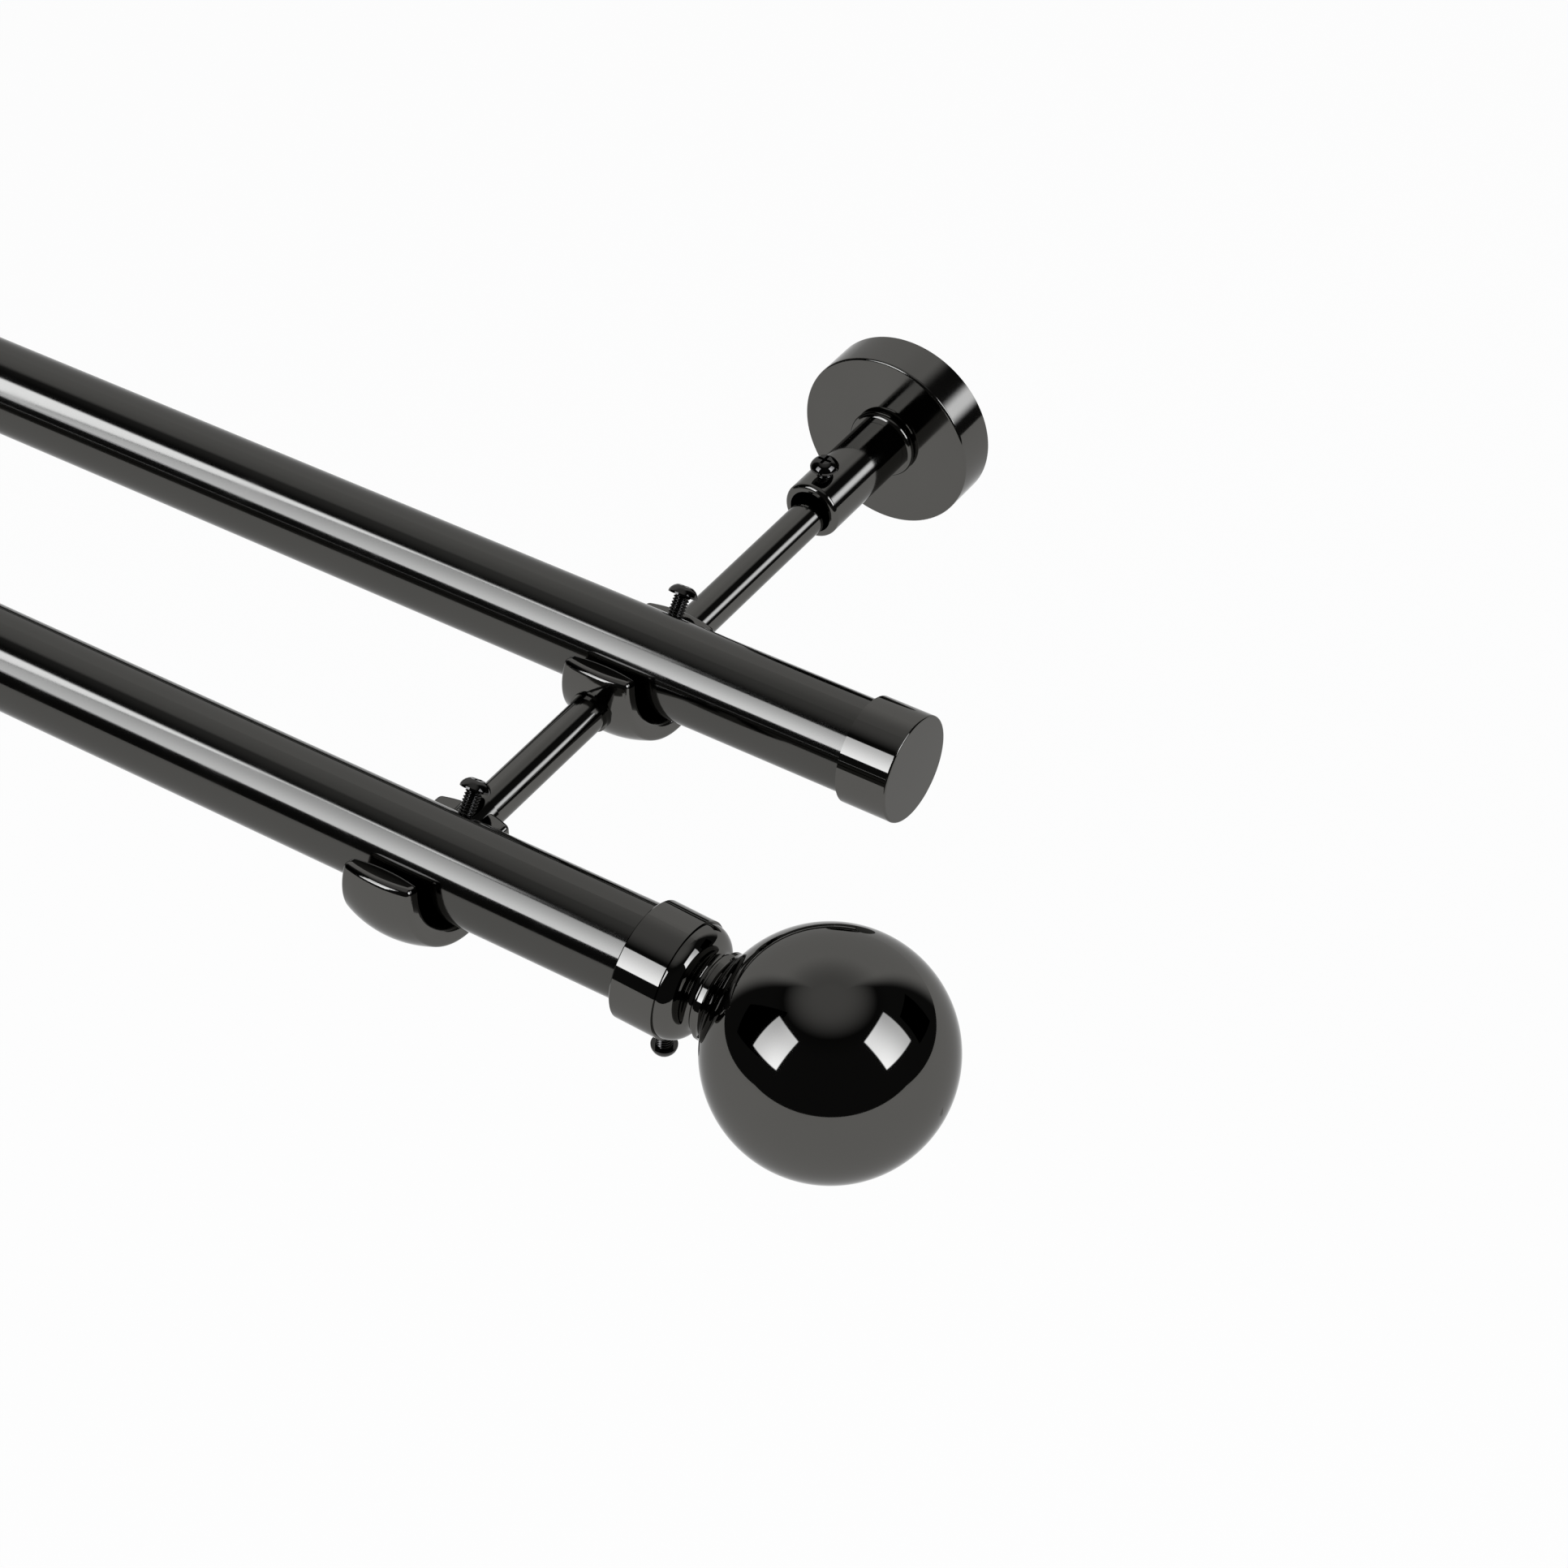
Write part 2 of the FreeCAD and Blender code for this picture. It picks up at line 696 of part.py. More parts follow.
stem_screws = []
cup_screws = []
finial_screws = []
for hand, side in SIDES:
    keep(wall_plate(hand + "_wall_plate", side))
    keep(stem_bolt(hand + "_stem_bolt", side))
    keep(rose(hand + "_rose", side))
    keep(stem(hand + "_stem", side))
    keep(rear_arm(hand + "_rear_arm", side))
    keep(front_arm(hand + "_front_arm", side))
    rear_necks = (("back", True, "-" + ARM_DROP), ("front", False, "front_arm_lift"))
    front_necks = (("back", True, "front_arm_lift"),)
    keep(cup(hand + "_rear_cup", side, REAR_REACH, rear_necks))
    keep(cup(hand + "_front_cup", side, "front_reach", front_necks))
    keep(end_cap(hand + "_end_cap", side))
    keep(finial_collar(hand + "_finial_collar", side))
    keep(finial_stud(hand + "_finial_stud", side))
    keep(finial_ball(hand + "_finial_ball", side))

    across = side + "bracket_span / 2"
    stem_screws.append(set_screw(hand + "_stem_screw", "stem_screw_len", (
        across,
        "-(rose_depth + stem_len - stem_screw_inset)",
        "arm_dia / 2 - %s + %s" % (ARM_DROP, POINT_OFF),
    )))
    for word, reach in (("rear", REAR_REACH), ("front", "front_reach")):
        cup_screws.append(set_screw("%s_%s_cup_screw" % (hand, word), "cup_screw_len", (
            across,
            "%s - %s" % (TOUCH_OUT, reach),
            "pole_rise + " + TOUCH_UP,
        )))
        lean(cup_screws[-1], TILT_AXIS, "cup_screw_tilt")
    finial_screws.append(set_screw(hand + "_finial_screw", "finial_screw_len", (
        side + SCREW_OUT,
        "-front_reach",
        "pole_rise - " + POINT_UNDER,
    ), True, "finial_head_dia"))
    lean(finial_screws[-1], finial_axis(side), "finial_droop")

keep(pole("rear_pole", "rear_pole_len", REAR_REACH))
keep(pole("front_pole", "front_pole_len", "front_reach"))
keep(group("stem_set_screws", stem_screws))
keep(group("cup_set_screws", cup_screws))
keep(group("finial_set_screws", finial_screws))

doc.recompute()
for thing in doc.Objects:
    if "Invalid" in thing.State or "Error" in thing.State:
        raise RuntimeError("%s did not build" % thing.Name)
os.makedirs("parts", exist_ok=True)
for piece in NODES:
    if piece.Shape.isNull() or not piece.Shape.isValid():
        raise RuntimeError("%s has no valid shape" % piece.Label)
    piece.Shape.exportStep("parts/%s.step" % piece.Label)
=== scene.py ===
"""Finishes, screw threads and studio for a double curtain pole."""

import math
from collections import namedtuple

import bmesh
import bpy
from bpy.props import FloatProperty, FloatVectorProperty, IntProperty, PointerProperty
from mathutils import Matrix, Vector


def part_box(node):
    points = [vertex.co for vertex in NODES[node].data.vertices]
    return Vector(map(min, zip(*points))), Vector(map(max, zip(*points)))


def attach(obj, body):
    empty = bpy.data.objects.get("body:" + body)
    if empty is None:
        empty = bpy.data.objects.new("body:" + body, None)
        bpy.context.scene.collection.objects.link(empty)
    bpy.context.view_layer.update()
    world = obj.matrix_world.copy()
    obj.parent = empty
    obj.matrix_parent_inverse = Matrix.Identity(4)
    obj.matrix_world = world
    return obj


bl_info = {
    "name": "Double curtain pole",
    "version": (1, 0, 0),
    "blender": (4, 5, 0),
    "location": "View3D > Sidebar > Curtain pole",
    "description": "Plated finishes, cut threads and a studio for a double curtain pole",
    "category": "Object",
}

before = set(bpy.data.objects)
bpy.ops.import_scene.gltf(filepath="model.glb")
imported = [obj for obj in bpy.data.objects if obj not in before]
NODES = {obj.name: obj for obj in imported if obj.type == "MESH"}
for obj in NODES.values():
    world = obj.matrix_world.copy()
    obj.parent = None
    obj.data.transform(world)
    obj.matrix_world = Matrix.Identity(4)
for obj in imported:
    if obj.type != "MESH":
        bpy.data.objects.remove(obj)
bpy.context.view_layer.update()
MM = 0.001

# Directions of the part
UP = Vector((0, 0, 1))
LENGTHWISE = Vector((1, 0, 0))
TO_WALL = Vector((0, 1, 0))

# Places of the right bracket, the poles and the right ball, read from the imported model
BRACKET_X = (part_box("right_stem")[0].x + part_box("right_stem")[1].x) / 2
POLE_RADIUS = (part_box("front_pole")[1].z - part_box("front_pole")[0].z) / 2
POLE_UP = (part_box("front_pole")[1].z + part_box("front_pole")[0].z) / 2
FRONT_Y = (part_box("front_pole")[1].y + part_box("front_pole")[0].y) / 2
REAR_Y = (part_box("rear_pole")[1].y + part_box("rear_pole")[0].y) / 2
BALL_PLACE = (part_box("right_finial_ball")[0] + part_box("right_finial_ball")[1]) / 2

# Set screws: shanks, heads and angles of the solids that carry the threads
POINT_RADIUS = 2.0 * MM
POINT_GAP = 0.1 * MM
HEAD_HEIGHT = 2.8 * MM
THREAD_START = 2.6 * MM
CUP_SHANK = 10.2 * MM
CUP_TILT = math.radians(40.0)
CUP_TOUCH = math.radians(-6.0)
FINIAL_SHANK = 13.6 * MM
FINIAL_HEAD = 3.7 * MM
DROOP = math.radians(3.2)

# Threads: rings in one turn, rise of the flanks before the crest is cut flat, and how far both
# ends of a sleeve are drawn in under its root
RINGS_PER_TURN = 8
FLANK_RISE = 1.25
SLEEVE_SINK = 0.1 * MM

# Marks that each way of working leaves: scales of the lines along X, Y and Z, scale of the clouds,
# and depth as a multiple of the drawing lines on the poles
Marks = namedtuple("Marks", "lines clouds depth")
DRAWN = Marks((3.0, 420.0, 420.0), 12.0, 1)
TURNED = Marks((420.0, 5.0, 420.0), 26.0, 2)
CAST = Marks((160.0, 160.0, 160.0), 40.0, 6)
BUFFED = Marks((90.0, 90.0, 90.0), 18.0, 1)
ROLLED = Marks((500.0, 500.0, 500.0), 220.0, 1)
ZINC = Marks((260.0, 260.0, 260.0), 180.0, 22)

# Share of the haze that the buffed ends and the screws have
CLEAN_HAZE = 0.5

# Ways across the studio as the camera looks, and the way up to the middle of the lit ceiling
TO_BACKDROP = Vector((-0.543, 0.840, 0.0))
TO_RIGHT = Vector((0.840, 0.543, 0.0))
TO_CEILING = Vector((-0.050, 0.075, 0.996))

# Backdrop and ceiling in the metal: how nearly a way points to their middle at their edge and where
# they are full, and the heights between which the backdrop dims to a share of itself
BACKDROP_SIDES = (0.55, 0.76)
BACKDROP_HEIGHTS = (0.62, 0.97)
BACKDROP_TOP_SHARE = 0.5
CEILING_REACH = (0.76, 1.0)

# Floor: its own colour and roughness, and the share of plain white in what shows of it
FLOOR_COLOUR = (0.86, 0.86, 0.86, 1)
FLOOR_ROUGHNESS = 0.9
FLOOR_WHITE_SHARE = 0.95

# Cards of light: way and distance from the point they hang off, width and height, share of each
# side that is a soft edge, and share by which each side dims at its low (+) or high (-) end
Card = namedtuple("Card", "way distance size soft fade")
ROOM_CARD = Card(Vector((-0.445, -0.700, 0.559)), 3.0, (1.65, 1.76), (0.04, 0.04), (0.4, -0.35))
END_CARD = Card(Vector((0.814, 0.160, 0.559)), 3.0, (1.85, 1.76), (0.04, 0.04), (-0.55, -0.2))
POLE_CARD = Card(Vector((0.0, -0.731, 0.682)), 3.1, (5.8, 2.7), (0.02, 0.14), (0.0, 0.0))
WALL_CARD = Card(Vector((0.69, 0.65, 0.31)), 3.0, (1.2, 1.3), (0.2, 0.4), (0.0, 0.0))
POLE_CARD_START = Vector((-4.0, -0.2, 0.0))
WALL_CARD_START = Vector((BRACKET_X, -0.11, 0.0))

# Camera: its right and up directions, its place, its sensor in millimetres and its nearest view
CAMERA_RIGHT = Vector((0.83977, 0.54294, 0.0))
CAMERA_UP = Vector((-0.36119, 0.55865, 0.74662))
CAMERA_PLACE = Vector((0.96409, -0.77469, 0.64648))
SENSOR_WIDTH = 36.0
CLIP_START = 0.01


class PlatingSettings(bpy.types.PropertyGroup):
    """Colours and polish of the plated pieces."""

    plate_colour: FloatVectorProperty(
        name="Plate colour", description="Reflected colour of the black nickel plate",
        subtype="COLOR", size=3, min=0.0, max=1.0, default=(0.106, 0.104, 0.098))
    plate_shade: FloatVectorProperty(
        name="Plate shade", description="Colour of the slightly deeper clouds in the plate",
        subtype="COLOR", size=3, min=0.0, max=1.0, default=(0.092, 0.090, 0.085))
    # The poles get a darker copy of the plate colour and of its clouds. This is painted shade that
    # stands in for the shadowed floor the poles reflect.
    tube_colour_with_painted_shade: FloatVectorProperty(
        name="Tube colour", description="Reflected colour of the plate on the drawn poles",
        subtype="COLOR", size=3, min=0.0, max=1.0, default=(0.080, 0.0785, 0.074))
    tube_clouds_with_painted_shade: FloatVectorProperty(
        name="Tube shade", description="Colour of the deeper clouds on the poles",
        subtype="COLOR", size=3, min=0.0, max=1.0, default=(0.070, 0.069, 0.065))
    screw_colour: FloatVectorProperty(
        name="Screw colour", description="Reflected colour of the plated screws",
        subtype="COLOR", size=3, min=0.0, max=1.0, default=(0.058, 0.057, 0.055))
    screw_shade: FloatVectorProperty(
        name="Screw shade", description="Colour of the deeper clouds on the screws",
        subtype="COLOR", size=3, min=0.0, max=1.0, default=(0.044, 0.043, 0.042))
    zinc_colour: FloatVectorProperty(
        name="Zinc colour", description="Colour of the hidden zinc-plated steel",
        subtype="COLOR", size=3, min=0.0, max=1.0, default=(0.60, 0.61, 0.62))
    zinc_shade: FloatVectorProperty(
        name="Zinc shade", description="Colour of the zinc's darker crystals",
        subtype="COLOR", size=3, min=0.0, max=1.0, default=(0.44, 0.45, 0.47))
    mirror_polish: FloatProperty(
        name="Mirror polish", description="Roughness of the buffed finials and caps",
        subtype="FACTOR", min=0.0, max=1.0, default=0.035)
    cast_polish: FloatProperty(
        name="Casting polish", description="Roughness of the cups",
        subtype="FACTOR", min=0.0, max=1.0, default=0.07)
    turned_polish: FloatProperty(
        name="Turned polish", description="Roughness of the arms, stems and roses",
        subtype="FACTOR", min=0.0, max=1.0, default=0.08)
    drawn_polish: FloatProperty(
        name="Drawn polish", description="Roughness of the drawn poles",
        subtype="FACTOR", min=0.0, max=1.0, default=0.09)
    screw_polish: FloatProperty(
        name="Screw polish", description="Roughness of the set screws",
        subtype="FACTOR", min=0.0, max=1.0, default=0.05)
    zinc_polish: FloatProperty(
        name="Zinc polish", description="Roughness of the hidden zinc-plated steel",
        subtype="FACTOR", min=0.0, max=1.0, default=0.32)
    haze: FloatProperty(
        name="Haze", description="Roughness that handling adds in soft clouds",
        subtype="FACTOR", min=0.0, max=1.0, default=0.04)
    zinc_haze: FloatProperty(
        name="Zinc haze", description="Roughness that soft clouds add to the zinc",
        subtype="FACTOR", min=0.0, max=1.0, default=0.16)
    edge_tint: FloatProperty(
        name="Edge reflection",
        description="Share of light that the black nickel returns at a grazing angle",
        subtype="FACTOR", min=0.0, max=1.0, default=0.68)
    zinc_edge_tint: FloatProperty(
        name="Zinc edge reflection",
        description="Share of light that the zinc returns at a grazing angle",
        subtype="FACTOR", min=0.0, max=1.0, default=1.0)
    line_depth: FloatProperty(
        name="Drawing line depth",
        description="Height of the faint lines that drawing leaves along the poles",
        unit="LENGTH", min=0.0, max=0.001, precision=6, default=0.0000004)


class ThreadSettings(bpy.types.PropertyGroup):
    """Sizes of the threads cut on the set screws."""

    pitch: FloatProperty(
        name="Pitch", description="Rise of the thread in one turn",
        unit="LENGTH", min=0.0002, max=0.003, precision=5, default=0.9 * MM)
    root: FloatProperty(
        name="Root radius", description="Radius at the bottom of the thread",
        unit="LENGTH", min=0.0005, max=0.01, precision=5, default=1.95 * MM)
    height: FloatProperty(
        name="Thread height", description="Height of the thread over its root",
        unit="LENGTH", min=0.0, max=0.002, precision=5, default=0.5 * MM)
    around: IntProperty(
        name="Sides", description="Sides in one turn of the thread", min=8, max=96, default=28)


class StudioSettings(bpy.types.PropertyGroup):
    """Camera, floor and lights."""

    lens: FloatProperty(
        name="Lens", description="Focal length of the camera in millimetres",
        unit="CAMERA", min=10, max=300, default=80.68)
    floor_drop: FloatProperty(
        name="Floor level", description="Height of the floor",
        unit="LENGTH", min=-3, max=0, default=-0.40)
    floor_front: FloatProperty(
        name="Floor front", description="Reach of the floor towards the camera",
        unit="LENGTH", min=0, max=20, default=2.2)
    floor_rear: FloatProperty(
        name="Floor rear", description="Reach of the floor behind the finial",
        unit="LENGTH", min=0, max=20, default=6.0)
    floor_side: FloatProperty(
        name="Floor side", description="Reach of the floor to each side",
        unit="LENGTH", min=0, max=20, default=4.4)
    floor_glow: FloatProperty(
        name="Floor level in metal", description="Brightness of the floor as the metal shows it",
        subtype="FACTOR", min=0, max=1, default=0.95)
    backdrop: FloatProperty(
        name="Backdrop level", description="Brightness of the backdrop as the metal shows it",
        subtype="FACTOR", min=0, max=1, default=0.84)
    ceiling: FloatProperty(
        name="Ceiling level", description="Brightness of the lit ceiling as the metal shows it",
        subtype="FACTOR", min=0, max=1, default=0.45)
    room: FloatProperty(
        name="Room level",
        description="Brightness of the room behind the camera, as the metal shows it",
        subtype="FACTOR", min=0, max=1, default=0.03)
    lamp_tint: FloatVectorProperty(
        name="Lamp tint", description="Colour of the cards' light, a little cool",
        subtype="COLOR", size=3, min=0.0, max=1.0, default=(0.93, 0.95, 1.0))
    softbox: FloatProperty(
        name="Softboxes", description="Radiance of the two softboxes",
        min=0, max=50, default=9.6)
    pole_softbox: FloatProperty(
        name="Pole softbox", description="Radiance of the long softbox over the poles",
        min=0, max=50, default=10.0)
    strip: FloatProperty(
        name="Strip light", description="Radiance of the strip beside the wall",
        min=0, max=50, default=5.4)


def settings(name):
    """The scene's settings of one group."""
    return getattr(bpy.context.scene, "curtain_pole_" + name)


def group_socket(tree, name, kind, direction, default=None):
    """Add a named socket to a node group."""
    socket = tree.interface.new_socket(name=name, in_out=direction, socket_type=kind)
    if default is not None:
        socket.default_value = default


def node(tree, kind, **values):
    """Shader node with its properties set."""
    made = tree.nodes.new(kind)
    for key, value in values.items():
        setattr(made, key, value)
    return made


def plate_clouds():
    """Node group: slow clouds in the plate's colour and in its polish."""
    name = "Plate clouds"
    if name in bpy.data.node_groups:
        return bpy.data.node_groups[name]
    tree = bpy.data.node_groups.new(name, "ShaderNodeTree")
    group_socket(tree, "Colour", "NodeSocketColor", "INPUT", (0.07, 0.07, 0.07, 1))
    group_socket(tree, "Shade", "NodeSocketColor", "INPUT", (0.06, 0.06, 0.06, 1))
    group_socket(tree, "Cloud scale", "NodeSocketFloat", "INPUT", 30.0)
    group_socket(tree, "Polish", "NodeSocketFloat", "INPUT", 0.05)
    group_socket(tree, "Haze", "NodeSocketFloat", "INPUT", 0.05)
    group_socket(tree, "Colour", "NodeSocketColor", "OUTPUT")
    group_socket(tree, "Roughness", "NodeSocketFloat", "OUTPUT")
    link = tree.links.new
    given = node(tree, "NodeGroupInput")
    result = node(tree, "NodeGroupOutput")
    place = node(tree, "ShaderNodeTexCoord")
    clouds = node(tree, "ShaderNodeTexNoise")
    clouds.inputs["Detail"].default_value = 3.0
    link(place.outputs["Object"], clouds.inputs["Vector"])
    link(given.outputs["Cloud scale"], clouds.inputs["Scale"])
    tint = node(tree, "ShaderNodeMix", data_type="RGBA")
    link(clouds.outputs["Fac"], tint.inputs["Factor"])
    link(given.outputs["Shade"], tint.inputs["A"])
    link(given.outputs["Colour"], tint.inputs["B"])
    link(tint.outputs["Result"], result.inputs["Colour"])
    wipe = node(tree, "ShaderNodeTexNoise")
    wipe.inputs["Scale"].default_value = 55.0
    wipe.inputs["Detail"].default_value = 5.0
    wipe.inputs["Distortion"].default_value = 0.6
    link(place.outputs["Object"], wipe.inputs["Vector"])
    edge = node(tree, "ShaderNodeMapRange", interpolation_type="SMOOTHSTEP")
    edge.inputs["From Min"].default_value = 0.46
    edge.inputs["From Max"].default_value = 0.78
    link(wipe.outputs["Fac"], edge.inputs["Value"])
    haze = node(tree, "ShaderNodeMath", operation="MULTIPLY_ADD")
    link(edge.outputs["Result"], haze.inputs[0])
    link(given.outputs["Haze"], haze.inputs[1])
    link(given.outputs["Polish"], haze.inputs[2])
    link(haze.outputs["Value"], result.inputs["Roughness"])
    return tree


def polish_lines():
    """Node group: height of the fine lines and pores that working the metal leaves."""
    name = "Polish lines"
    if name in bpy.data.node_groups:
        return bpy.data.node_groups[name]
    tree = bpy.data.node_groups.new(name, "ShaderNodeTree")
    group_socket(tree, "Lines", "NodeSocketVector", "INPUT", (4.0, 900.0, 900.0))
    group_socket(tree, "Pores", "NodeSocketFloat", "INPUT", 0.2)
    group_socket(tree, "Height", "NodeSocketFloat", "OUTPUT")
    link = tree.links.new
    given = node(tree, "NodeGroupInput")
    result = node(tree, "NodeGroupOutput")
    place = node(tree, "ShaderNodeTexCoord")
    stretch = node(tree, "ShaderNodeVectorMath", operation="MULTIPLY")
    link(place.outputs["Object"], stretch.inputs[0])
    link(given.outputs["Lines"], stretch.inputs[1])
    lines = node(tree, "ShaderNodeTexNoise")
    lines.inputs["Scale"].default_value = 1.0
    lines.inputs["Detail"].default_value = 4.0
    link(stretch.outputs["Vector"], lines.inputs["Vector"])
    pores = node(tree, "ShaderNodeTexVoronoi")
    pores.inputs["Scale"].default_value = 650.0
    link(place.outputs["Object"], pores.inputs["Vector"])
    sink = node(tree, "ShaderNodeMath", operation="MULTIPLY_ADD")
    link(pores.outputs["Distance"], sink.inputs[0])
    link(given.outputs["Pores"], sink.inputs[1])
    link(lines.outputs["Fac"], sink.inputs[2])
    link(sink.outputs["Value"], result.inputs["Height"])
    return tree


def plated_metal(name, colour, shade, marks, polish, haze, edge_tint):
    """Polished plate: clouds in colour and roughness, fine lines as a bump."""
    made = bpy.data.materials.new(name)
    made.use_nodes = True
    tree = made.node_tree
    shader = tree.nodes["Principled BSDF"]
    shader.inputs["Metallic"].default_value = 1.0
    shader.inputs["Specular Tint"].default_value = (edge_tint, edge_tint, edge_tint, 1)
    clouds = node(tree, "ShaderNodeGroup", node_tree=plate_clouds())
    clouds.inputs["Colour"].default_value = (*colour, 1)
    clouds.inputs["Shade"].default_value = (*shade, 1)
    clouds.inputs["Cloud scale"].default_value = marks.clouds
    clouds.inputs["Polish"].default_value = polish
    clouds.inputs["Haze"].default_value = haze
    tree.links.new(clouds.outputs["Colour"], shader.inputs["Base Color"])
    tree.links.new(clouds.outputs["Roughness"], shader.inputs["Roughness"])
    fine = node(tree, "ShaderNodeGroup", node_tree=polish_lines())
    fine.inputs["Lines"].default_value = marks.lines
    bump = node(tree, "ShaderNodeBump")
    bump.inputs["Strength"].default_value = 1.0
    bump.inputs["Distance"].default_value = settings("plating").line_depth * marks.depth
    tree.links.new(fine.outputs["Height"], bump.inputs["Height"])
    tree.links.new(bump.outputs["Normal"], shader.inputs["Normal"])
    return made


def dress(names, material):
    """Give CAD nodes one material."""
    for name in names:
        mesh = NODES[name].data
        mesh.materials.clear()
        mesh.materials.append(material)


def both(*words):
    """Node names of the left and right pieces."""
    return [side + "_" + word for side in ("left", "right") for word in words]


class CURTAINPOLE_OT_finish_poles(bpy.types.Operator):
    """Plate the two drawn steel poles"""

    bl_idname = "curtain_pole.finish_poles"
    bl_label = "Finish poles"

    def execute(self, context):
        plate = settings("plating")
        # The darker tube colours are painted shade for the shadowed floor that the poles reflect.
        dress(["front_pole", "rear_pole"], plated_metal(
            "Plated tube", plate.tube_colour_with_painted_shade, plate.tube_clouds_with_painted_shade, DRAWN,
            plate.drawn_polish, plate.haze, plate.edge_tint))
        return {"FINISHED"}


class CURTAINPOLE_OT_finish_arms(bpy.types.Operator):
    """Plate the turned arms, stems and roses"""

    bl_idname = "curtain_pole.finish_arms"
    bl_label = "Finish arms, stems and roses"

    def execute(self, context):
        plate = settings("plating")
        dress(both("rear_arm", "front_arm", "stem", "rose"), plated_metal(
            "Plated turnings", plate.plate_colour, plate.plate_shade, TURNED,
            plate.turned_polish, plate.haze, plate.edge_tint))
        return {"FINISHED"}


class CURTAINPOLE_OT_finish_castings(bpy.types.Operator):
    """Plate the cast cups"""

    bl_idname = "curtain_pole.finish_castings"
    bl_label = "Finish cups"

    def execute(self, context):
        plate = settings("plating")
        dress(both("rear_cup", "front_cup"), plated_metal(
            "Plated castings", plate.plate_colour, plate.plate_shade, CAST,
            plate.cast_polish, plate.haze, plate.edge_tint))
        return {"FINISHED"}


class CURTAINPOLE_OT_finish_finials(bpy.types.Operator):
    """Plate the ball finials and the sleeve caps"""

    bl_idname = "curtain_pole.finish_finials"
    bl_label = "Finish finials and caps"

    def execute(self, context):
        plate = settings("plating")
        dress(both("finial_ball", "finial_collar", "end_cap"), plated_metal(
            "Plated ends", plate.plate_colour, plate.plate_shade, BUFFED,
            plate.mirror_polish, plate.haze * CLEAN_HAZE, plate.edge_tint))
        return {"FINISHED"}


class CURTAINPOLE_OT_finish_screws(bpy.types.Operator):
    """Plate the set screws"""

    bl_idname = "curtain_pole.finish_screws"
    bl_label = "Finish set screws"

    def execute(self, context):
        plate = settings("plating")
        dress(["stem_set_screws", "cup_set_screws", "finial_set_screws"], plated_metal(
            "Plated screws", plate.screw_colour, plate.screw_shade, ROLLED,
            plate.screw_polish, plate.haze * CLEAN_HAZE, plate.edge_tint))
        return {"FINISHED"}


class CURTAINPOLE_OT_finish_hidden_steel(bpy.types.Operator):
    """Zinc-plate the wall plates, bolts and studs"""

    bl_idname = "curtain_pole.finish_hidden_steel"
    bl_label = "Finish hidden steel"

    def execute(self, context):
        plate = settings("plating")
        dress(both("wall_plate", "stem_bolt", "finial_stud"), plated_metal(
            "Bright zinc", plate.zinc_colour, plate.zinc_shade, ZINC,
            plate.zinc_polish, plate.zinc_haze, plate.zinc_edge_tint))
        return {"FINISHED"}


def thread_rings(sizes, length):
    """Height and radii of each ring of a threaded sleeve, with both ends drawn in."""
    steps = max(int(length / sizes.pitch * RINGS_PER_TURN), RINGS_PER_TURN)
    rings = []
    for step in range(steps + 1):
        along = length * step / steps
        ring = []
        for side in range(sizes.around):
            turn = (along / sizes.pitch - side / sizes.around) % 1.0
            crest = 1.0 - abs(2.0 * turn - 1.0)
            ring.append(sizes.root + sizes.height * min(crest * FLANK_RISE, 1.0))
        rings.append((along, ring))
    inner = [sizes.root - SLEEVE_SINK] * sizes.around
    return [(0.0, inner)] + rings + [(length, inner)]


def threaded_sleeve(name, screws):
    """One mesh with the cut thread of several screws, each (start point, direction, length)."""
    sizes = settings("thread")
    shape = bmesh.new()
    for start, direction, length in screws:
        turn = direction.to_track_quat("Z", "Y").to_matrix().to_4x4()
        there = Matrix.Translation(start) @ turn
        rows = []
        for along, ring in thread_rings(sizes, length):
            row = []
            for side, radius in enumerate(ring):
                angle = 2 * math.pi * side / sizes.around
                spot = Vector((radius * math.cos(angle), radius * math.sin(angle), along))
                row.append(shape.verts.new(there @ spot))
            rows.append(row)
        for low, high in zip(rows, rows[1:] + rows[:1]):
            for side in range(sizes.around):
                after = (side + 1) % sizes.around
                face = shape.faces.new((low[side], low[after], high[after], high[side]))
                face.smooth = True
    mesh = bpy.data.meshes.new(name)
    shape.to_mesh(mesh)
    shape.free()
    piece = bpy.data.objects.new(name, mesh)
    bpy.context.scene.collection.objects.link(piece)
    mesh.materials.append(bpy.data.materials["Plated screws"])
    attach(piece, "root")


